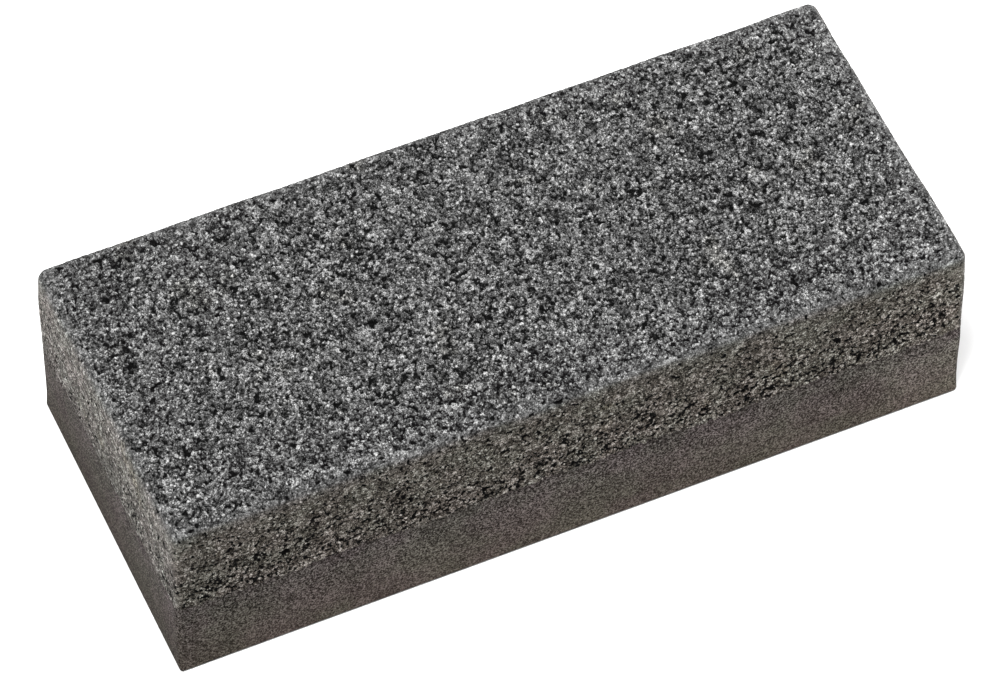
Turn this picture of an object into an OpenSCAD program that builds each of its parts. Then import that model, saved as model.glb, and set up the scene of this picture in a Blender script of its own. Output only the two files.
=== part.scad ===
// Two-grit combination whetstone for whittling knives and carving tools.
// A plain rectangular block of two abrasive layers that are pressed and fired as one piece:
// coarse grit on top, fine grit below, meeting along an uneven bond line.
// Units are millimetres. Z is up, X runs along the stone, Y runs across it.
// The origin is the centre of the resting face, and the front long side faces -Y.

/* [Block] */
// Length of the stone, end face to end face (X)
stone_length = 100; // [60:0.5:200]
// Width of the working faces (Y)
stone_width = 42.2; // [20:0.2:80]
// Height from the resting face to the top working face (Z)
stone_height = 26.5; // [12:0.1:50]

/* [Layers] */
// Mean thickness of the coarse layer, from the bond line to the top working face
coarse_thickness = 14.1; // [4:0.1:30]

/* [Bond line] */
// How far the bond line rises and falls each way from its mean height
bond_wave_height = 0.35; // [0.1:0.05:1]
// Distance between neighbouring crests of the bond line
bond_wave_pitch = 19; // [10:0.5:40]
// Edge length of the flat facets that make up the bond surface
bond_facet_size = 5; // [3:0.5:10]

/* [Edges] */
// Radius worn onto the four edges round the top working face
top_edge_radius = 1.2; // [0.3:0.1:3]
// Radius of the four edges round the resting face
bottom_edge_radius = 0.4; // [0.2:0.1:2]
// Radius of the four upright corner edges
upright_edge_radius = 0.8; // [0.2:0.1:3]

/* [Hidden] */
// Mean height of the bond line, which is also the fine layer's mean thickness.
bond_height = stone_height - coarse_thickness;
// How far the shaping profiles and the bond surface reach past the block.
overrun = 2;
// The facets across and along, so that none is longer than bond_facet_size.
facets_x = ceil((stone_length + 2 * overrun) / bond_facet_size);
facets_y = ceil((stone_width + 2 * overrun) / bond_facet_size);
$fn = 96;

// Height of the bond surface above a point of the resting face.
// Three crossing waves of unequal pitch, so that no two stretches are alike.
function bond_z(x, y) =
  bond_height + bond_wave_height * (
    0.50 * sin(360 * (x + 0.35 * y) / bond_wave_pitch + 40)
    + 0.30 * sin(360 * (0.62 * x - 0.80 * y) / bond_wave_pitch + 110)
    + 0.20 * sin(360 * (1.55 * x + 1.20 * y) / bond_wave_pitch + 250)
  );

// A rectangle centred on X with its own radius at the two lower and two upper corners.
// It stands on the axis when foot is 0.
module rounded_profile(width, height, low_radius, high_radius) {
  union() {
    translate([-width / 2 + low_radius, 0])
      square([width - 2 * low_radius, height - high_radius]);
    translate([-width / 2 + high_radius, low_radius])
      square([width - 2 * high_radius, height - low_radius]);
    translate([-width / 2, low_radius])
      square([width, height - low_radius - high_radius]);
    for (side = [-1, 1]) {
      translate([side * (width / 2 - low_radius), low_radius])
        circle(r = low_radius);
      translate([side * (width / 2 - high_radius), height - high_radius])
        circle(r = high_radius);
    }
  }
}

// The outline of the block seen from above, with rounded upright edges.
module plan_outline() {
  translate([0, -stone_width / 2])
    rounded_profile(stone_length, stone_width, upright_edge_radius, upright_edge_radius);
}

// The outer shape shared by both layers: the plan, the side view and the end view crossed.
module block() {
  intersection() {
    linear_extrude(height = stone_height)
      plan_outline();
    translate([0, stone_width / 2 + overrun, 0])
      rotate([90, 0, 0])
        linear_extrude(height = stone_width + 2 * overrun)
          rounded_profile(stone_length, stone_height, bottom_edge_radius, top_edge_radius);
    translate([-stone_length / 2 - overrun, 0, 0])
      rotate([90, 0, 90])
        linear_extrude(height = stone_length + 2 * overrun)
          rounded_profile(stone_width, stone_height, bottom_edge_radius, top_edge_radius);
  }
}

// Everything above the bond surface, reaching past the block on all other sides.
module above_bond() {
  x_low = -stone_length / 2 - overrun;
  y_low = -stone_width / 2 - overrun;
  step_x = (stone_length + 2 * overrun) / facets_x;
  step_y = (stone_width + 2 * overrun) / facets_y;
  roof = stone_height + overrun;
  row = facets_x + 1;
  layer = row * (facets_y + 1);
  surface_points = [
    for (j = [0:facets_y], i = [0:facets_x])
      let (x = x_low + i * step_x, y = y_low + j * step_y)
        [x, y, bond_z(x, y)]
  ];
  roof_points = [
    [x_low, y_low, roof],
    [x_low + facets_x * step_x, y_low, roof],
    [x_low + facets_x * step_x, y_low + facets_y * step_y, roof],
    [x_low, y_low + facets_y * step_y, roof]
  ];
  surface_faces = [
    for (j = [0:facets_y - 1], i = [0:facets_x - 1], half = [0, 1])
      let (p = j * row + i)
        half == 0 ? [p, p + 1, p + row + 1] : [p, p + row + 1, p + row]
  ];
  front_wall = [concat([layer, layer + 1], [for (i = [facets_x:-1:0]) i])];
  right_wall = [concat([layer + 1, layer + 2], [for (j = [facets_y:-1:0]) j * row + facets_x])];
  back_wall = [concat([layer + 2, layer + 3], [for (i = [0:facets_x]) facets_y * row + i])];
  left_wall = [concat([layer + 3, layer], [for (j = [0:facets_y]) j * row])];
  roof_face = [[layer + 3, layer + 2, layer + 1, layer]];
  polyhedron(
    points = concat(surface_points, roof_points),
    faces = concat(surface_faces, front_wall, right_wall, back_wall, left_wall, roof_face),
    convexity = 4
  );
}

// The coarse abrasive, dark grey, whose top is the coarse working face.
module coarse_grit_layer() {
  color([0.32, 0.32, 0.32])
    intersection() {
      block();
      above_bond();
    }
}

// The fine abrasive, brownish grey, whose underside is the resting face and fine working face.
module fine_grit_layer() {
  color([0.33, 0.30, 0.28])
    difference() {
      block();
      above_bond();
    }
}

coarse_grit_layer();
fine_grit_layer();
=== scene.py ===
"""A two-grit combination whetstone: coarse silicon carbide on top, fine below, fired as one block.

Both layers are meshes worked out here: a block with worn edges whose surface is carried in and
out by a packing of sharp grains. Everything is in metres, in the CAD's frame: X along the stone,
Y across it, Z up, and the origin in the middle of the resting face.
"""

import math

import bpy
import numpy as np
from mathutils import Matrix, Vector
from mathutils.geometry import delaunay_2d_cdt


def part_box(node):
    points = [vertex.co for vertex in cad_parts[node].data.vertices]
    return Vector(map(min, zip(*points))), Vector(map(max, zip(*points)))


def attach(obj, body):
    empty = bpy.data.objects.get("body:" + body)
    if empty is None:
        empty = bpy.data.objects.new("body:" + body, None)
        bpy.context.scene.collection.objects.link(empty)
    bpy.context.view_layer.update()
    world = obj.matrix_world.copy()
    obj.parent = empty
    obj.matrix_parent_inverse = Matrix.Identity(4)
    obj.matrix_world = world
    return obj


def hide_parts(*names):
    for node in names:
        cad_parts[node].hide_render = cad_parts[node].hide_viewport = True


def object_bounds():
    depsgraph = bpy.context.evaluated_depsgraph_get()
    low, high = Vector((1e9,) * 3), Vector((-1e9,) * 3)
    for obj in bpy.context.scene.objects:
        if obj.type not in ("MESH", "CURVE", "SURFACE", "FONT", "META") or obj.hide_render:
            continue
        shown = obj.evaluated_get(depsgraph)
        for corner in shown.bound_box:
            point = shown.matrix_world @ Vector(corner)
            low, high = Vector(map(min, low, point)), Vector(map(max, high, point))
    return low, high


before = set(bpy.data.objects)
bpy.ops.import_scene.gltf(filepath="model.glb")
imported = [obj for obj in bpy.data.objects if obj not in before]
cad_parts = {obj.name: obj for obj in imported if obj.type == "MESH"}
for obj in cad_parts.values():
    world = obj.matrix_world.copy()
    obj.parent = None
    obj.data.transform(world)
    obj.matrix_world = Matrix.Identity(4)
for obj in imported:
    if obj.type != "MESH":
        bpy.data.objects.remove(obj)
cad_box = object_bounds()

MM = 0.001
LOW, HIGH = (np.array(corner, float) for corner in cad_box)
SIZE = HIGH - LOW
BOND_HEIGHT = (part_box("fine_grit_layer")[1][2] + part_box("coarse_grit_layer")[0][2]) / 2

# The bond line and the worn edges, as in the CAD. Each wave has its share of the height, how many
# crests it has in one pitch along the stone and across it, and where it starts in degrees.
BOND_WAVE_HEIGHT = 0.35 * MM
BOND_WAVE_PITCH = 19 * MM
BOND_WAVES = [(0.50, 1.0, 0.35, 40), (0.30, 0.62, -0.80, 110), (0.20, 1.55, 1.20, 250)]
TOP_EDGE_RADIUS = 1.2 * MM
UPRIGHT_EDGE_RADIUS = 0.8 * MM
BOTTOM_EDGE_RADIUS = 0.4 * MM

# Mesh fineness. The coarse grains are cut out of the coarse layer's mesh. The caps are the plain
# faces: the bond inside the stone, and the underside.
COLUMN_PITCH = 0.14 * MM
FINE_ROW_PITCH = 0.36 * MM
CAP_PITCH = 2.5 * MM
COARSE_JITTER = 0.30 * COLUMN_PITCH
FINE_JITTER = 0.25 * COLUMN_PITCH

# The mesh rows follow the bond line near it, and level out over this height. The fine layer's edge
# is pulled onto the coarse layer's over the shorter one.
BOND_REACH = 1.6 * MM
BOND_PULL_REACH = 0.35 * MM

# How far the bond shows in the colour of each layer, and the neutral grey of the top in the sides.
COARSE_BOND_SHADE_REACH = 1.2 * MM
FINE_BOND_SHADE_REACH = 0.5 * MM
LIP_REACH = 1.1 * MM

# How far wear reaches in from the coarse layer's edges, with how much that varies, and how far and
# how strongly from its upper corners.
EDGE_WEAR_REACH = 1.2 * MM
EDGE_WEAR_VARIES = 0.5 * MM
CORNER_WEAR_REACH = 2.4 * MM
CORNER_WEAR = 0.8

# The coarse grains, the lumps with wider pits between them, and the share of each that has come out.
GRAIN_PITCH = 0.36 * MM
GRAINS_MISSING = 0.16
LUMP_PITCH = 0.47 * MM
LUMPS_MISSING = 0.30
GRAIN_SHAPES = 64

# How high the grains stand out on the top and on the sides, and how low their flanks lie. The top
# is sunk a little, so that its grains' tips come to about the block's height.
TOP_CROWN = 0.11 * MM
SIDE_CROWN = 0.035 * MM
LOWEST_FLANK = -0.02 * MM
TOP_SINK = 0.05 * MM

# The cracks between grains that touch, and the pores: how deep they are, how steep the pores' walls
# are, and how far inside its edge a pore is painted black, as shade, on the sides, and how much further
# on the top.
CRACK_WIDTH = 0.05 * MM
CRACK_DEPTH = 0.03 * MM
PORE_DEPTH = 0.40 * MM
PORE_STEEPNESS = 3.2
PORE_FADE = 0.022 * MM
TOP_PORE_FADE_MORE = 0.03 * MM

# How far from a grain a gap starts, and from a lump a pit, in millimetres: on the top and on the
# sides, then how much further on the sides at the bond, on the ends and where the pits are closed,
# and how much further everywhere where the stone is worn. Both vary a little in patches.
GAP_STARTS = {"top": 0.014, "side": 0.064, "bond": -0.033, "end": 0.012, "closed": 0.012, "worn": 0.03}
PIT_STARTS = {"top": 0.11, "side": 0.124, "bond": -0.040, "end": 0.0, "closed": 0.04, "worn": 0.04}
GAPS_VARY = 0.012 * MM
PITS_VARY = 0.018 * MM

# In patches along the bond the pits are closed, up to this height above it.
CLOSED_REACH = 2.4 * MM

# The square bake sheet, and the room between the block's sides laid out on it.
BAKE_SHEET = 106 * MM
BAKE_GAP = 1.2 * MM
HIDDEN_FACE_SCALE = 0.4

SEED = 20

rng = np.random.default_rng(SEED)


# --- Noise and grains ---------------------------------------------------------------------------


def smoothstep(value, start, end):
    """0 before start, 1 after end, and an even curve between."""
    t = np.clip((value - start) / (end - start), 0, 1)
    return t * t * (3 - 2 * t)


class SoftNoise:
    """Smooth random values from -1 to 1 through space, which change over about one pitch."""

    def __init__(self, pitch):
        self.pitch = pitch
        self.start = LOW - 2 * pitch
        self.values = rng.uniform(-1, 1, np.ceil(SIZE / pitch).astype(int) + 6)

    def __call__(self, points):
        at = (points - self.start) / self.pitch
        cell = np.floor(at).astype(int)
        part = at - cell
        part = part * part * (3 - 2 * part)
        total = 0
        for corner in np.ndindex(2, 2, 2):
            weight = np.prod(np.where(corner, part, 1 - part), axis=1)
            total = total + weight * self.values[tuple((cell + corner).T)]
        return total


class Grit:
    """Sharp grains of many shapes, one to each cell of a jittered lattice that fills the block."""

    # Where in its cell a grain's middle may lie, and how large its radius may be, both in cells.
    MIDDLES = (0.08, 0.92)
    RADII = (0.30, 0.60)
    # How far a grain's flat sides lean from a cube's, and how near or far they may lie.
    LEAN = 0.22
    STRETCH = (0.75, 1.25)

    def __init__(self, pitch, missing):
        self.pitch = pitch
        self.start = LOW - 3 * pitch
        cells = np.ceil(SIZE / pitch).astype(int) + 6
        self.shift = rng.uniform(*self.MIDDLES, (*cells, 3)).astype(np.float32)
        self.radius = (pitch * rng.uniform(*self.RADII, cells)).astype(np.float32)
        self.radius[rng.random(cells) < missing] = -pitch
        self.shape = rng.integers(0, GRAIN_SHAPES, cells)
        self.tone = rng.random(cells).astype(np.float32)
        self.sides = self.grain_shapes()

    @classmethod
    def grain_shapes(cls):
        """For each shape, its flat sides as outward normals over their distances from the middle:
        a cube with two corners cut off, turned and skewed at random."""
        corners = np.array([[1, 1, 1], [-1, -1, 1]]) / math.sqrt(3)
        flats = np.concatenate([np.eye(3), -np.eye(3), corners])
        shapes = []
        for _ in range(GRAIN_SHAPES):
            turn, _ = np.linalg.qr(rng.normal(size=(3, 3)))
            normals = (flats + rng.normal(0, cls.LEAN, flats.shape)) @ turn
            normals /= np.linalg.norm(normals, axis=1, keepdims=True)
            shapes.append(normals / rng.uniform(*cls.STRETCH, (len(flats), 1)))
        return np.array(shapes, np.float32)

    def nearest(self, points):
        """Per point: how far it is outside its nearest grain (less than 0 inside), how much nearer that
        grain is than the next, the grain's tone and its centre."""
        cell = np.floor((points - self.start) / self.pitch).astype(int)
        count = len(points)
        best = np.full(count, np.inf, np.float32)
        second = np.full(count, np.inf, np.float32)
        tone = np.zeros(count, np.float32)
        centre = np.zeros((count, 3), np.float32)
        for step in np.ndindex(3, 3, 3):
            near = tuple((cell + step - 1).T)
            middle = self.start + (np.stack(near, 1) + self.shift[near]) * self.pitch
            away = (points - middle).astype(np.float32)
            outside = np.einsum("nsk,nk->ns", self.sides[self.shape[near]], away).max(1)
            outside -= self.radius[near]
            closer = outside < best
            second = np.where(closer, best, np.minimum(second, outside))
            best = np.where(closer, outside, best)
            tone = np.where(closer, self.tone[near], tone)
            centre[closer] = middle[closer]
        return best, second - best, tone, centre


grains = Grit(GRAIN_PITCH, GRAINS_MISSING)
lumps = Grit(LUMP_PITCH, LUMPS_MISSING)
edge_noise = SoftNoise(5 * MM)
patch_noise = SoftNoise(3.2 * MM)
broad_noise = SoftNoise(14 * MM)


# --- The block's surface ------------------------------------------------------------------------


def bond_wave(points):
    """Height of the bond surface above or below each point, in the same waves as the CAD's."""
    x, y = points[:, 0], points[:, 1]
    turn = 2 * math.pi / BOND_WAVE_PITCH
    total = 0
    for share, along, across, start in BOND_WAVES:
        total = total + share * np.sin(turn * (along * x + across * y) + math.radians(start))
    return BOND_HEIGHT + BOND_WAVE_HEIGHT * total


def edge_radius(points):
    """How round the block's edges are at points of the sharp block: most at the worn top."""
    foot = 3 * MM
    top = HIGH[2] - TOP_EDGE_RADIUS
    shoulder = top - 5 * MM
    heights = [LOW[2], BOTTOM_EDGE_RADIUS, foot, shoulder, top, HIGH[2]]
    radii = [BOTTOM_EDGE_RADIUS] * 2 + [UPRIGHT_EDGE_RADIUS] * 2 + [TOP_EDGE_RADIUS] * 2
    unevenness = 0.22 * edge_noise(points) * smoothstep(points[:, 2], 2 * MM, BOND_HEIGHT)
    return np.interp(points[:, 2], heights, radii) * (1 + unevenness)


def rounded(points):
    """Takes points of the sharp block onto the block with worn edges, with the normals there."""
    radius = edge_radius(points)[:, None]
    core = np.clip(points, LOW + radius, HIGH - radius)
    normal = points - core
    normal /= np.linalg.norm(normal, axis=1, keepdims=True)
    return core + radius * normal, normal


def facing_up(normal):
    """1 on the top, 0 on the sides, and between on the worn edge."""
    return smoothstep(normal[:, 2], 0.35, 0.95)


def edge_wear(points):
    """How worn the coarse layer is at points of the sharp block: most along its edges and at its
    upper corners."""
    inward = np.minimum(points - LOW, HIGH - points)
    inward[:, 2] = HIGH[2] - points[:, 2]
    _, to_edge, to_corner = np.sort(np.abs(inward), axis=1).T
    reach = EDGE_WEAR_REACH + EDGE_WEAR_VARIES * edge_noise(points)
    at_edges = np.exp(-((to_edge / reach) ** 2))
    at_corners = CORNER_WEAR * np.exp(-((to_corner / CORNER_WEAR_REACH) ** 2))
    return np.minimum(at_edges + at_corners, 1)


def by_place(starts, place):
    """A distance that differs from place to place, out of GAP_STARTS or PIT_STARTS, in metres."""
    on_side = starts["side"] + sum(starts[key] * place[key] for key in ("bond", "end", "closed"))
    top = place["top"]
    return (starts["top"] * top + (1 - top) * on_side + starts["worn"] * place["worn"]) * MM


def coarse_relief(points, normal, wear):
    """How far the coarse surface stands in or out, with each point's grain tone and how deep it is
    in a pore.

    The top is open grain. The sides were pressed against the mould: flat grains between pits,
    which are more and larger towards the bond, and few on the two ends."""
    outside, groove, tone, _ = grains.nearest(points)
    off_lump, _, _, _ = lumps.nearest(points)
    top = facing_up(normal)
    side = 1 - top
    end = np.abs(normal[:, 0]) * side
    bond = smoothstep(HIGH[2] - points[:, 2], 1 * MM, HIGH[2] - BOND_HEIGHT)
    patch = patch_noise(points)
    just_above = 1 - smoothstep(points[:, 2] - bond_wave(points), 0, CLOSED_REACH)
    closed = just_above * np.clip(0.5 + 0.9 * broad_noise(points), 0, 1)
    place = {"top": top, "bond": bond, "end": end, "closed": closed, "worn": wear}

    # The sides are pressed flat, a little less so low down and more so on the ends. Grains of paler
    # tone stand out further, and worn ones less.
    pressed = side * (0.75 - 0.15 * bond + 0.2 * end)
    crown = (TOP_CROWN * top + SIDE_CROWN * side) * (0.6 + 0.8 * tone) * (1 - 0.5 * wear)
    solid = np.minimum(-outside * (1 - 0.55 * pressed), crown)

    # Gaps between grains and pits between lumps cut in, and narrow cracks part grains that touch.
    gap = outside - by_place(GAP_STARTS, place) + GAPS_VARY * patch
    pit = off_lump - by_place(PIT_STARTS, place) + PITS_VARY * patch
    pore = np.maximum(gap, pit)
    depth = np.minimum(np.maximum(pore, 0) * (PORE_STEEPNESS - 0.8 * pressed), PORE_DEPTH)
    crack = CRACK_DEPTH * smoothstep(-groove, -CRACK_WIDTH, 0) * (1 - 0.5 * pressed)
    height = np.where(depth > 0, -depth, np.maximum(solid, LOWEST_FLANK)) - crack
    return height - TOP_SINK * top, tone, pore / (PORE_FADE + TOP_PORE_FADE_MORE * top)


def fine_relief(points):
    """The fine layer is almost smooth: a slight waviness that dies out on the resting face."""
    level = smoothstep(points[:, 2], 0.3 * MM, 2.5 * MM)
    return (0.02 * (patch_noise(points) + broad_noise(points)) - 0.01) * MM * level


# --- Meshes -------------------------------------------------------------------------------------

# The walls of both layers share their columns, which go round the block anticlockwise from the
# front left corner. The block's sides are 0 front, 1 right, 2 back and 3 left, then the flat top
# or underside, and the hidden bond face.
ACROSS_X = round(SIZE[0] / COLUMN_PITCH)
ACROSS_Y = round(SIZE[1] / COLUMN_PITCH)
SIDE_OF_COLUMN = np.repeat([0, 1, 2, 3], [ACROSS_X, ACROSS_Y, ACROSS_X, ACROSS_Y])
COLUMNS = len(SIDE_OF_COLUMN)
FLAT_SIDE, HIDDEN_SIDE = 4, 5


def perimeter():
    """The sharp block's outline: one point for each column."""
    x = np.linspace(LOW[0], HIGH[0], ACROSS_X + 1)
    y = np.linspace(LOW[1], HIGH[1], ACROSS_Y + 1)
    front = np.stack([x[:-1], np.full(ACROSS_X, LOW[1])], 1)
    right = np.stack([np.full(ACROSS_Y, HIGH[0]), y[:-1]], 1)
    back = np.stack([x[:0:-1], np.full(ACROSS_X, HIGH[1])], 1)
    left = np.stack([np.full(ACROSS_Y, LOW[0]), y[:0:-1]], 1)
    return np.concatenate([front, right, back, left])


def grain_edged_bond(outline):
    """Height of the bond at each column: the wave, broken up by the coarse grains that lie on it.

    Each column is searched downwards for the first point that belongs to no coarse grain."""
    search, step = 1.1 * MM, 0.07 * MM
    levels = np.arange(search, -search, -step)
    wave = bond_wave(outline)
    heights = (wave[:, None] + levels).reshape(-1, 1)
    on_block, _ = rounded(np.concatenate([outline.repeat(len(levels), 0), heights], 1))
    _, _, tone, centre = grains.nearest(on_block)
    lift = 0.35 * MM * (tone - 0.5)
    coarse = centre[:, 2] + lift > bond_wave(centre)
    first_fine = np.argmax(~coarse.reshape(len(outline), -1), axis=1)
    height = wave + levels[first_fine]
    return (np.roll(height, 1) + 2 * height + np.roll(height, -1)) / 4


outline = perimeter()
bond_line = grain_edged_bond(outline)


def wall_points(heights):
    """Points of the sharp block for every row of heights, row after row."""
    return np.concatenate([np.tile(outline, (len(heights), 1)), heights.reshape(-1, 1)], 1)


def jitter(points, amount, fixed):
    """Moves points a little along the block's flat sides, so that no row of the grid shows."""
    moved = points + rng.uniform(-amount, amount, points.shape)
    on_side = (np.abs(points - LOW) < 1e-9) | (np.abs(points - HIGH) < 1e-9)
    return np.where(on_side | fixed[:, None], points, moved)


def closed_rows(index):
    """Rows of vertex numbers, each with its first column again at its end."""
    return np.concatenate([index, index[:, :1]], 1)


def grid_triangles(corner_index, positions):
    """Splits a grid's four-sided faces into triangles across their shorter diagonals."""
    a, b = corner_index[:-1, :-1].ravel(), corner_index[1:, :-1].ravel()
    d, c = corner_index[:-1, 1:].ravel(), corner_index[1:, 1:].ravel()
    across = np.linalg.norm(positions[a] - positions[c], axis=1)
    other = np.linalg.norm(positions[b] - positions[d], axis=1)
    shorter = (across < other)[:, None]
    first = np.where(shorter, np.stack([a, b, c], 1), np.stack([a, b, d], 1))
    last = np.where(shorter, np.stack([a, c, d], 1), np.stack([b, c, d], 1))
    return np.stack([first, last], 1).reshape(-1, 3)


def cap_triangles(loop, positions, inner):
    """Triangles that close a loop of vertices over some inner points, seen from above. The inner
    points are numbered after the positions."""
    flat = [Vector(p) for p in np.concatenate([positions[loop][:, :2], inner[:, :2]])]
    edges = [(i, (i + 1) % len(loop)) for i in range(len(loop))]
    _, _, faces, source, _, _ = delaunay_2d_cdt(flat, edges, [], 1, 1e-9)
    first = np.array([s[0] for s in source])
    numbers = np.concatenate([loop, len(positions) + np.arange(len(inner))])
    return numbers[first[np.array(faces)]]


def inner_points(height_of):
    """Points of a plain grid that stays clear of the block's sides, at the heights of a function."""
    x, y = (np.arange(LOW[k] + CAP_PITCH, HIGH[k] - CAP_PITCH / 2, CAP_PITCH) for k in (0, 1))
    flat = np.stack(np.meshgrid(x, y, indexing="ij"), -1).reshape(-1, 2)
    return np.concatenate([flat, height_of(flat)[:, None]], 1)


def on_floor(points):
    """The height of the floor below each point."""
    return np.zeros(len(points))


def face_uv(points, triangles, face_side, wall_height, wall_low):
    """Lays each side of the block flat on the bake sheet. The hidden bond face gets little room."""
    at = points[triangles] - LOW
    x, y, z = at[..., 0], at[..., 1], at[..., 2] - (wall_low - LOW[2])
    sides = [face_side[:, None] == side for side in range(FLAT_SIDE + 1)]
    row = wall_height + BAKE_GAP
    hidden = HIDDEN_FACE_SCALE
    u = np.select(sides, [x, SIZE[1] + BAKE_GAP + y, x, y, x], hidden * x)
    v = np.select(
        sides,
        [z, 2 * row + z, row + z, 2 * row + z, 3 * row + y],
        3 * row + SIZE[1] + BAKE_GAP + hidden * y,
    )
    return (np.stack([u, v], -1) + BAKE_GAP) / BAKE_SHEET


def build(name, points, triangles, uv, attributes):
    """Makes one closed mesh, with its bake map and its surface attributes."""
    mesh = bpy.data.meshes.new(name)
    mesh.vertices.add(len(points))
    mesh.vertices.foreach_set("co", points.astype(np.float32).ravel())
    mesh.loops.add(triangles.size)
    mesh.loops.foreach_set("vertex_index", triangles.astype(np.int32).ravel())
    mesh.polygons.add(len(triangles))
    mesh.polygons.foreach_set("loop_start", np.arange(0, triangles.size, 3, dtype=np.int32))
    mesh.polygons.foreach_set("use_smooth", np.ones(len(triangles), bool))
    layer = mesh.uv_layers.new(name="OFBake")
    layer.uv.foreach_set("vector", uv.astype(np.float32).ravel())
    for key, values in attributes.items():
        mesh.attributes.new(key, "FLOAT", "POINT").data.foreach_set("value", values.astype(np.float32))
    mesh.update(calc_edges=True)
    mesh.validate()
    piece = bpy.data.objects.new(name, mesh)
    bpy.context.scene.collection.objects.link(piece)
    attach(piece, "root")
    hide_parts(name)
    return piece


def top_grid(rim, first_inner):
    """Vertex numbers of the grid over the top: the rim of the walls, and the points inside it."""
    index = np.empty((ACROSS_X + 1, ACROSS_Y + 1), int)
    inside = (ACROSS_X - 1, ACROSS_Y - 1)
    index[1:-1, 1:-1] = first_inner + np.arange(inside[0] * inside[1]).reshape(inside)
    front, right, back, left = np.split(rim, np.flatnonzero(np.diff(SIDE_OF_COLUMN)) + 1)
    index[:-1, 0] = front
    index[-1, :-1] = right
    index[:0:-1, -1] = back
    index[0, :0:-1] = left
    return index


def coarse_layer():
    """The upper layer, and the ring of points where it meets the lower one."""
    rows = round((HIGH[2] - BOND_HEIGHT) / COLUMN_PITCH)
    base = np.linspace(BOND_HEIGHT, HIGH[2], rows + 1)[:, None]
    lift = (bond_line - BOND_HEIGHT) * np.exp(-(base - BOND_HEIGHT) / BOND_REACH)
    lift = lift * (1 - smoothstep(base, HIGH[2] - 4 * MM, HIGH[2] - 2 * MM))
    wall = wall_points(np.minimum(base + lift, HIGH[2]))
    x = np.linspace(LOW[0], HIGH[0], ACROSS_X + 1)
    y = np.linspace(LOW[1], HIGH[1], ACROSS_Y + 1)
    top = np.stack(np.meshgrid(x[1:-1], y[1:-1], indexing="ij"), -1).reshape(-1, 2)
    top = np.concatenate([top, np.full((len(top), 1), HIGH[2])], 1)
    sharp = np.concatenate([wall, top])
    wall_index = np.arange(len(wall)).reshape(rows + 1, COLUMNS)
    fixed = np.zeros(len(sharp), bool)
    fixed[wall_index[[0, -1]]] = True
    sharp = jitter(sharp, COARSE_JITTER, fixed)
    smooth, normal = rounded(sharp)
    wear = edge_wear(sharp)
    height, tone, pore = coarse_relief(smooth, normal, wear)
    points = smooth + normal * height[:, None]

    wall_faces = grid_triangles(closed_rows(wall_index).T, points)
    top_faces = grid_triangles(top_grid(wall_index[-1], len(wall)), points)
    inner = inner_points(bond_wave)
    cap_faces = cap_triangles(wall_index[0], points, inner)[:, ::-1]
    triangles = np.concatenate([wall_faces, top_faces, cap_faces])
    face_side = np.concatenate(
        [
            SIDE_OF_COLUMN.repeat(2 * rows),
            np.full(len(top_faces), FLAT_SIDE),
            np.full(len(cap_faces), HIDDEN_SIDE),
        ]
    )

    top_share = facing_up(normal)
    below_top = (HIGH[2] - sharp[:, 2]) / LIP_REACH
    near_top = 0.8 * np.exp(-(below_top**2)) * (1 + 0.4 * edge_noise(sharp))
    above_bond = np.maximum(sharp[:, 2] - bond_wave(sharp), 0)
    attributes = {
        "near_bond": np.exp(-above_bond / COARSE_BOND_SHADE_REACH) * (1 - top_share),
        "tone": tone,
        "pore": pore,
        "worn": wear,
        "top": top_share,
        "cool": np.maximum(top_share, near_top),
        "end": np.abs(normal[:, 0]) * (1 - top_share),
    }
    for key, values in attributes.items():
        attributes[key] = np.append(values, np.full(len(inner), np.median(values)))
    sharp = np.concatenate([sharp, inner])
    uv = face_uv(sharp, triangles, face_side, HIGH[2] - bond_line.min(), bond_line.min())
    piece = build(
        "coarse_grit_layer", np.concatenate([points, inner]), triangles, uv, attributes
    )
    return piece, points[:COLUMNS]


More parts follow.
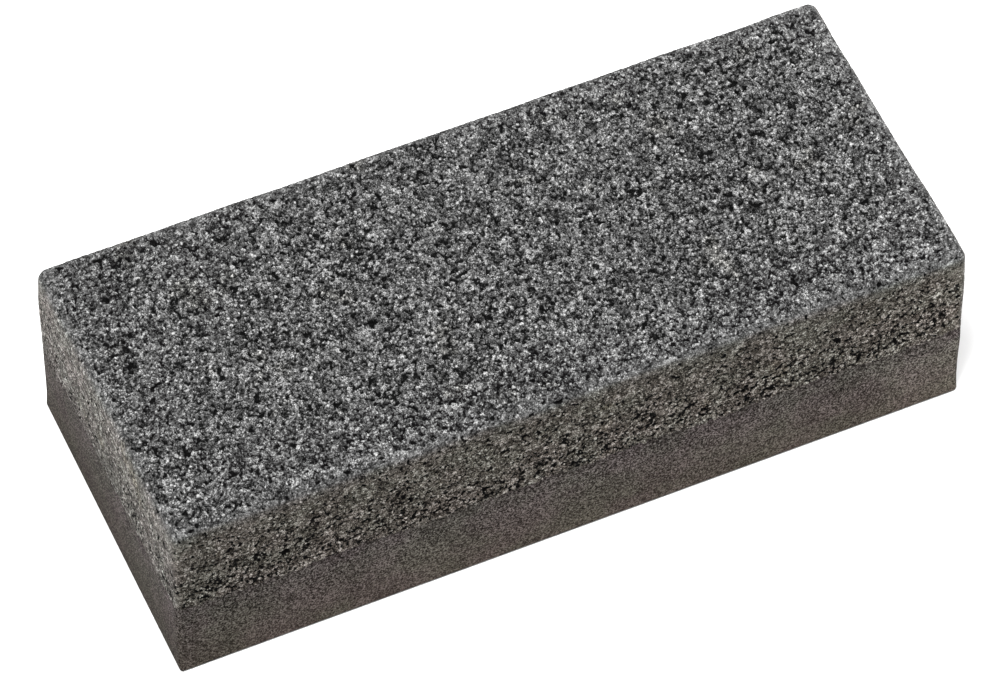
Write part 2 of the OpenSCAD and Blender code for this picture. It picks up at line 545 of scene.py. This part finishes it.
def fine_layer(bond_ring):
    """The lower layer. Its upper ring of points is the coarse layer's, so that no gap shows."""
    # The rows, from the bond down: close together at the bond and on the worn bottom edge.
    below_bond = [0, 0.12, 0.25, 0.4, 0.58, 0.8]
    drop = np.concatenate([below_bond, np.arange(1.05, 50, FINE_ROW_PITCH / MM)]) * MM
    drop = drop[drop < BOND_HEIGHT - 0.45 * MM]
    foot = np.array([0.4, 0.26, 0.13, 0.0]) * MM
    base = np.concatenate([BOND_HEIGHT - drop, foot])[:, None]
    lift = (bond_line - BOND_HEIGHT) * np.exp(-(BOND_HEIGHT - base) / BOND_REACH)
    heights = base + lift * smoothstep(base, 0.4 * MM, 2 * MM)
    wall = wall_points(heights)
    rows = len(heights) - 1
    inset = np.array([0.12, 0.25, 0.42, 0.8]) * MM
    rings = [np.column_stack([outline * (1 - 2 * d / SIZE[:2]), on_floor(outline)]) for d in inset]
    sharp = np.concatenate([wall, *rings])
    fixed = np.ones(len(sharp), bool)
    fixed[COLUMNS : rows * COLUMNS] = False
    sharp = jitter(sharp, FINE_JITTER, fixed)
    smooth, normal = rounded(sharp)
    points = smooth + normal * fine_relief(smooth)[:, None]
    below = (bond_line - heights).ravel()
    pull = np.exp(-below / BOND_PULL_REACH)[:, None]
    step = bond_ring - points[:COLUMNS]
    points[: len(wall)] += pull * np.tile(step, (rows + 1, 1))

    index = np.arange(len(sharp)).reshape(-1, COLUMNS)
    strips = len(index) - 1
    wall_faces = grid_triangles(closed_rows(index)[::-1].T, points)
    under, over = inner_points(on_floor), inner_points(bond_wave)
    under_faces = cap_triangles(index[-1], points, under)[:, ::-1]
    points = np.concatenate([points, under])
    over_faces = cap_triangles(index[0], points, over)
    points = np.concatenate([points, over])
    triangles = np.concatenate([wall_faces, under_faces, over_faces])

    strip_row = np.arange(strips)[::-1]
    strip_side = np.where(strip_row >= rows, FLAT_SIDE, SIDE_OF_COLUMN[:, None])
    face_side = np.concatenate(
        [
            strip_side.repeat(2, axis=1).ravel(),
            np.full(len(under_faces), FLAT_SIDE),
            np.full(len(over_faces), HIDDEN_SIDE),
        ]
    )
    uv = face_uv(np.concatenate([sharp, under, over]), triangles, face_side, bond_line.max(), 0)
    near_bond = np.zeros(len(points))
    near_bond[: len(wall)] = np.exp(-below / FINE_BOND_SHADE_REACH)
    end = np.zeros(len(points))
    end[: len(normal)] = np.abs(normal[:, 0])
    attributes = {"near_bond": near_bond, "end": end}
    return build("fine_grit_layer", points, triangles, uv, attributes)


# --- Materials ----------------------------------------------------------------------------------


class Shader:
    """A material's nodes, with short names for those used here."""

    def __init__(self, name):
        self.material = bpy.data.materials.new(name)
        self.material.use_nodes = True
        self.tree = self.material.node_tree
        self.surface = self.tree.nodes["Principled BSDF"]
        self.place = self.tree.nodes.new("ShaderNodeTexCoord").outputs["Object"]

    def node(self, kind, **inputs):
        made = self.tree.nodes.new(kind)
        for key, value in inputs.items():
            self.put(made.inputs[key.replace("_", " ")], value)
        return made

    def put(self, socket, value):
        """Links another node's output to a socket, or sets a plain value on it."""
        if isinstance(value, bpy.types.NodeSocket):
            self.tree.links.new(value, socket)
        else:
            socket.default_value = value

    def attribute(self, name):
        made = self.tree.nodes.new("ShaderNodeAttribute")
        made.attribute_name = name
        return made.outputs["Fac"]

    def axis(self, name):
        return self.node("ShaderNodeSeparateXYZ", Vector=self.place).outputs[name]

    def along(self):
        """Painted light along the stone: a little darker on the left and paler on the right."""
        place = self.span(self.axis("X"), LOW[0], HIGH[0], 0.0, 1.0)
        return self.ramp(place, [(0.0, 0.82), (0.12, 0.96), (0.85, 1.04), (1.0, 1.38)])

    def noise(self, size, detail=2.0, roughness=0.5):
        made = self.node("ShaderNodeTexNoise", Vector=self.place, Scale=1 / size, Detail=detail)
        made.inputs["Roughness"].default_value = roughness
        return made.outputs["Fac"]

    def patches(self, size, low=0.38, high=0.62, detail=2.0, roughness=0.5):
        """Soft-edged patches: 0 where the noise is under low, and 1 where it is over high."""
        return self.span(self.noise(size, detail, roughness), low, high, 0.0, 1.0)

    def cells(self, size):
        """Flat chips, each with a random tone."""
        made = self.node("ShaderNodeTexVoronoi", Vector=self.place, Scale=1 / size)
        return made.outputs["Color"]

    def joints(self, size):
        """How far each point is from the joint between two chips, in chip sizes."""
        made = self.node("ShaderNodeTexVoronoi", Vector=self.place, Scale=1 / size)
        made.feature = "DISTANCE_TO_EDGE"
        return made.outputs["Distance"]

    def maths(self, operation, first, second=0.0, clamp=False):
        made = self.tree.nodes.new("ShaderNodeMath")
        made.operation = operation
        made.use_clamp = clamp
        self.put(made.inputs[0], first)
        self.put(made.inputs[1], second)
        return made.outputs[0]

    def add(self, first, second, clamp=False):
        return self.maths("ADD", first, second, clamp)

    def times(self, first, second):
        return self.maths("MULTIPLY", first, second)

    def span(self, value, from_low, from_high, to_low, to_high):
        """A value between two limits, moved to between two others, and held there."""
        made = self.node("ShaderNodeMapRange", Value=value)
        for key, number in (
            ("From Min", from_low),
            ("From Max", from_high),
            ("To Min", to_low),
            ("To Max", to_high),
        ):
            made.inputs[key].default_value = number
        return made.outputs[0]

    def share(self, value, low, high):
        """A value from 0 to 1, moved to between low and high."""
        return self.span(value, 0.0, 1.0, low, high)

    def swing(self, noise, amount):
        """A noise, which is mostly between 0.3 and 0.7, moved to between -amount and amount."""
        return self.span(noise, 0.3, 0.7, -amount, amount)

    def ramp(self, value, stops):
        made = self.node("ShaderNodeValToRGB", Fac=value)
        band = made.color_ramp
        while len(band.elements) < len(stops):
            band.elements.new(0.5)
        for element, (position, colour) in zip(band.elements, stops):
            element.position = position
            element.color = (*((colour,) * 3 if isinstance(colour, float) else colour), 1)
        return made.outputs["Color"]

    def mix(self, factor, first, second, blend="MIX"):
        """A mix of two colours."""
        made = self.tree.nodes.new("ShaderNodeMix")
        made.data_type = "RGBA"
        made.blend_type = blend
        self.put(made.inputs["Factor"], factor)
        for socket, value in ((made.inputs[6], first), (made.inputs[7], second)):
            self.put(socket, (*value, 1) if isinstance(value, tuple) else value)
        return made.outputs[2]

    def tint(self, colour, by):
        return self.mix(1.0, colour, by, "MULTIPLY")

    def blend(self, factor, first, second):
        """A mix of two numbers."""
        made = self.tree.nodes.new("ShaderNodeMix")
        for key, value in (("Factor", factor), ("A", first), ("B", second)):
            self.put(made.inputs[key], value)
        return made.outputs["Result"]

    def bump(self, height, distance, strength):
        made = self.node("ShaderNodeBump", Height=height, Distance=distance, Strength=strength)
        return made.outputs["Normal"]


DRY_STONE_SPECULAR = 0.02

# Sizes of what the coarse layer shows.
CHIP = 0.26 * MM
SMALL_CHIP = 0.14 * MM
JOINTED_CHIP = 0.34 * MM
SPECK = 0.13 * MM
TEXTURE = 0.10 * MM
TEXTURE_DEPTH = 0.02 * MM
PATCH = 2.2 * MM
HUE_PATCH = 4 * MM
STAIN = 7 * MM

# How pale the coarse layer is, from 0 to 1: its darkest and palest grains, how far the smaller
# things differ from their grain, the grain tones that are painted bright as glints, and the worn edges.
GRAIN_VALUES = (0.25, 0.73)
CHIP_CONTRAST = 0.27
SMALL_CHIP_CONTRAST = 0.38
SPECK_CONTRAST = 0.22
PATCH_CONTRAST = 0.19
PAINTED_GLINT_TONES = (0.972, 0.985)
PAINTED_GLINT_GAIN = 0.35
WORN_VALUE = 0.66
MIDDLE_VALUE = 0.50

# How bright it is by place: on the sides high up and low down, on the ends high up and low down, at
# the bond, and with painted shade in a joint between chips and a little brighter away from it.
SIDE_BRIGHTNESS = (0.95, 1.29)
# On the ends: paler, partly their own paleness and partly painted light, and paler high up than at the
# bond, which is painted light.
END_PALENESS_AND_PAINTED_LIGHT = (1.63, 1.26)
BOND_BRIGHTNESS = 0.92
PAINTED_JOINT_SHADE = (0.45, 1.24)
JOINT_WIDTH = 0.16

# Colours of the coarse layer: its greys from dark to pale, and the tints over them by place.
COARSE_GREYS = [(0.0, 0.002), (0.25, 0.019), (0.5, 0.072), (0.75, 0.163), (1.0, 0.40)]
# Painted shade: the colour of the pores, near black.
PAINTED_PORE_SHADE = (0.002, 0.002, 0.002)
TOP_TINT = (1.0, 1.0, 0.995)
UPPER_SIDE_TINT = (0.965, 0.865, 0.70)
LOWER_SIDE_TINT = (0.985, 0.84, 0.70)
END_TINT = (0.945, 0.85, 0.755)
PALE_GRAIN_TINT = (0.885, 0.875, 0.84)
LIP_TINT = (0.80, 0.806, 0.806)
PINKISH, GREENISH = (1.02, 0.985, 0.99), (0.98, 1.01, 0.985)
STAIN_TINT = (1.0, 0.97, 0.88)
END_GREY = (0.225, 0.212, 0.202)


def coarse_value(s, tone, worn, top, speck):
    """How pale each point is, from 0 to 1: its grain's tone, broken up by chips, specks and patches.
    A few grains are painted bright as glints, and the worn edges are more even."""
    value = s.share(tone, *GRAIN_VALUES)
    for size, contrast in ((CHIP, CHIP_CONTRAST), (SMALL_CHIP, SMALL_CHIP_CONTRAST)):
        value = s.add(value, s.share(s.cells(size), -contrast, contrast))
    value = s.add(value, s.swing(speck, SPECK_CONTRAST))
    patch = s.swing(s.noise(PATCH, detail=4.0, roughness=0.6), PATCH_CONTRAST)
    value = s.add(value, s.times(patch, s.share(top, 0.5, 1.0)))
    # Painted glints: a few of the palest grains are made brighter still.
    value = s.add(value, s.span(tone, *PAINTED_GLINT_TONES, 0.0, PAINTED_GLINT_GAIN), clamp=True)
    value = s.blend(s.share(worn, 0.0, 0.32), value, WORN_VALUE)
    return s.blend(s.share(top, 0.03, 0.0), value, MIDDLE_VALUE)


def coarse_material():
    """Chips of many greys round pores painted black as shade. The top is neutral and the sides are
    brownish, most so low down, apart from their palest grains and the lip under the top."""
    s = Shader("coarse_grit")
    tone, pore, worn = (s.attribute(key) for key in ("tone", "pore", "worn"))
    top, cool, end, near = (s.attribute(key) for key in ("top", "cool", "end", "near_bond"))
    low_down = s.span(s.axis("Z"), BOND_HEIGHT, HIGH[2], 1.0, 0.0)
    speck = s.noise(SPECK, detail=3.0, roughness=0.6)
    value = coarse_value(s, tone, worn, top, speck)

    side = s.mix(low_down, UPPER_SIDE_TINT, LOWER_SIDE_TINT)
    side = s.mix(end, side, END_TINT)
    side = s.mix(s.span(value, 0.35, 1.0, 0.0, 0.8), side, PALE_GRAIN_TINT)
    side = s.mix(cool, side, LIP_TINT)
    colour = s.tint(s.ramp(value, COARSE_GREYS), s.mix(top, side, TOP_TINT))
    # Painted shade in the joints between chips, which are a little brighter away from them.
    colour = s.tint(colour, s.span(s.joints(JOINTED_CHIP), 0.0, JOINT_WIDTH, *PAINTED_JOINT_SHADE))
    hue = s.mix(s.patches(HUE_PATCH), PINKISH, GREENISH)
    colour = s.mix(top, s.tint(colour, hue), colour)
    stain = s.patches(STAIN, 0.62, 0.70, detail=3.0, roughness=0.6)
    stain = s.times(stain, s.share(top, 1.0, 0.4))
    colour = s.mix(stain, colour, s.tint(colour, STAIN_TINT))
    colour = s.mix(s.share(end, 0.0, 0.06), colour, END_GREY)

    # Painted light: the sides, and a little the top, darker on the left and paler on the right; the
    # ends paler, partly their own paleness and partly painted light, and paler high up, which is
    # painted light.
    on_sides = s.times(s.share(low_down, *SIDE_BRIGHTNESS), s.share(top, 1.0, 0.99))
    on_sides = s.times(on_sides, s.blend(s.share(top, 1.0, 0.3), 1.0, s.along()))
    colour = s.tint(colour, s.blend(end, on_sides, s.share(low_down, *END_PALENESS_AND_PAINTED_LIGHT)))
    colour = s.tint(colour, s.share(near, 1.0, BOND_BRIGHTNESS))
    # Painted shade: deep in the pores the colour goes near black.
    colour = s.mix(s.span(pore, -0.2, 1.0, 0.0, 0.98), colour, PAINTED_PORE_SHADE)
    s.put(s.surface.inputs["Base Color"], colour)

    shine = s.add(tone, s.swing(speck, 0.3))
    s.put(s.surface.inputs["Roughness"], s.share(shine, 0.75, 0.38))
    texture = s.noise(TEXTURE, roughness=0.6)
    s.put(s.surface.inputs["Normal"], s.bump(texture, TEXTURE_DEPTH, 0.8))
    s.surface.inputs["Specular IOR Level"].default_value = DRY_STONE_SPECULAR
    return s.material


# Sizes of what the fine layer shows.
FINE_CHIP = 0.17 * MM
FINE_SPECK = 0.20 * MM
FINE_TEXTURE = 0.16 * MM
FINE_TEXTURE_DEPTH = 0.05 * MM
FINE_PATCH = 5 * MM
FINE_HUE_PATCH = 6 * MM
STRAY_GRAIN = 0.30 * MM
STRAY_PATCH = 3.5 * MM

# How bright the fine layer's ends are, high up and low down, which is painted light: paler high up and
# darker towards the bottom; and its middle value from 0 to 1.
FINE_END_PAINTED_LIGHT = (1.13, 0.60)
FINE_MIDDLE_VALUE = 0.54

# Colours of the fine layer: from dark to pale, and the tints over them by place.
FINE_COLOURS = [
    (0.0, (0.0055, 0.0047, 0.0041)),
    (0.3, (0.0215, 0.0186, 0.0163)),
    (0.65, (0.0745, 0.067, 0.0613)),
    (1.0, (0.173, 0.163, 0.154)),
]
BOND_RIM_COLOUR = (0.03, 0.026, 0.023)
FINE_PINKISH, FINE_GREENISH = (1.04, 0.975, 1.0), (0.98, 1.01, 0.94)
LOW_DOWN_TINT = (1.31, 1.26, 1.14)
FINE_TINT = (0.965, 0.945, 0.975)


def fine_material():
    """A dense, even grit in brownish grey, darker at the bond, with stray coarse grains near it."""
    s = Shader("fine_grit")
    near, end = s.attribute("near_bond"), s.attribute("end")
    low_down = s.span(s.axis("Z"), 0.0, BOND_HEIGHT, 1.0, 0.0)
    speck = s.noise(FINE_SPECK, detail=3.0, roughness=0.65)
    patch = s.span(s.noise(FINE_PATCH, detail=3.0), 0.35, 0.65, -0.06, 0.06)
    value = s.add(s.span(speck, 0.3, 0.7, -0.1, 1.1), patch)
    value = s.add(value, s.share(s.cells(FINE_CHIP), -0.5, 0.5))
    where_stray = s.times(s.maths("POWER", near, 0.22), s.patches(STRAY_PATCH, 0.42, 0.62))
    stray = s.times(where_stray, s.share(s.cells(STRAY_GRAIN), -0.75, 0.60))
    value = s.add(value, stray, clamp=True)
    value = s.blend(s.span(low_down, 0.2, 1.0, 0.0, 0.4), value, FINE_MIDDLE_VALUE)

    colour = s.ramp(value, FINE_COLOURS)
    colour = s.mix(s.share(near, 0.0, 0.35), colour, BOND_RIM_COLOUR)
    colour = s.tint(colour, s.mix(s.patches(FINE_HUE_PATCH), FINE_PINKISH, FINE_GREENISH))
    colour = s.mix(low_down, colour, s.tint(colour, LOW_DOWN_TINT))
    colour = s.tint(colour, FINE_TINT)
    # Painted light: the sides darker on the left and paler on the right, and the ends paler high up and
    # darker towards the bottom.
    colour = s.tint(colour, s.blend(end, s.along(), s.share(low_down, *FINE_END_PAINTED_LIGHT)))
    s.put(s.surface.inputs["Base Color"], colour)
    s.put(s.surface.inputs["Roughness"], s.span(speck, 0.3, 0.7, 0.85, 0.6))
    texture = s.noise(FINE_TEXTURE, roughness=0.6)
    s.put(s.surface.inputs["Normal"], s.bump(texture, FINE_TEXTURE_DEPTH, 1.0))
    s.surface.inputs["Specular IOR Level"].default_value = DRY_STONE_SPECULAR
    return s.material


def floor_material():
    """Plain pale paper."""
    s = Shader("floor_paper")
    colour = s.mix(s.noise(60 * MM), (0.91, 0.91, 0.91), (0.93, 0.93, 0.93))
    s.put(s.surface.inputs["Base Color"], colour)
    s.surface.inputs["Roughness"].default_value = 0.9
    return s.material


# --- The studio ---------------------------------------------------------------------------------

CAMERA_AZIMUTH = math.radians(-24.06)
CAMERA_ELEVATION = math.radians(53.45)
CAMERA_ROLL = math.radians(0.12)
CAMERA_DISTANCE = 800.9 * MM
CAMERA_AIM = Vector((-0.65 * MM, -0.89 * MM, SIZE[2] / 2))
LENS = 245.6
FARTHEST_SEEN = 100

# Each lamp's azimuth and elevation in degrees, its size in metres and its power in watts.
LAMPS = {"key": (-60, 71, 0.4, 37), "fill": (110, 60, 0.8, 23)}
LAMP_DISTANCE = 1.2
SKY_STRENGTH = 0.45
EXPOSURE = -0.87

FLOOR_REACH = 3.0
FLOOR_DROP = 0.02 * MM


def backward(azimuth, elevation):
    """The way from what is looked at to who looks: azimuth 0 is the front, over -Y."""
    across = math.cos(elevation)
    return Vector((math.sin(azimuth) * across, -math.cos(azimuth) * across, math.sin(elevation)))


def place_camera():
    data = bpy.data.cameras.new("camera")
    data.lens = LENS
    data.clip_end = FARTHEST_SEEN
    camera = bpy.data.objects.new("camera", data)
    bpy.context.scene.collection.objects.link(camera)
    back = backward(CAMERA_AZIMUTH, CAMERA_ELEVATION)
    turn = back.to_track_quat("Z", "Y").to_matrix() @ Matrix.Rotation(CAMERA_ROLL, 3, "Z")
    camera.matrix_world = Matrix.Translation(CAMERA_AIM + back * CAMERA_DISTANCE) @ turn.to_4x4()
    bpy.context.scene.camera = camera


def area_light(name, azimuth, elevation, size, power):
    data = bpy.data.lights.new(name, "AREA")
    data.size = size
    data.energy = power
    lamp = bpy.data.objects.new(name, data)
    bpy.context.scene.collection.objects.link(lamp)
    back = backward(math.radians(azimuth), math.radians(elevation))
    turn = back.to_track_quat("Z", "Y").to_matrix()
    lamp.matrix_world = Matrix.Translation(back * LAMP_DISTANCE) @ turn.to_4x4()


def studio():
    """A pale floor, an even sky and two soft lamps."""
    mesh = bpy.data.meshes.new("floor")
    corners = [(x * FLOOR_REACH, y * FLOOR_REACH, 0) for x, y in ((-1, -1), (1, -1), (1, 1), (-1, 1))]
    mesh.from_pydata(corners, [], [(0, 1, 2, 3)])
    mesh.materials.append(floor_material())
    floor = bpy.data.objects.new("floor", mesh)
    floor.location.z = -FLOOR_DROP
    bpy.context.scene.collection.objects.link(floor)
    world = bpy.data.worlds.new("studio")
    world.use_nodes = True
    sky = world.node_tree.nodes["Background"]
    sky.inputs["Color"].default_value = (1, 1, 1, 1)
    sky.inputs["Strength"].default_value = SKY_STRENGTH
    bpy.context.scene.world = world
    for name, lamp in LAMPS.items():
        area_light(name, *lamp)
    view = bpy.context.scene.view_settings
    view.view_transform = "Standard"
    view.exposure = EXPOSURE


coarse, ring = coarse_layer()
coarse.data.materials.append(coarse_material())
fine = fine_layer(ring)
fine.data.materials.append(fine_material())
studio()
place_camera()
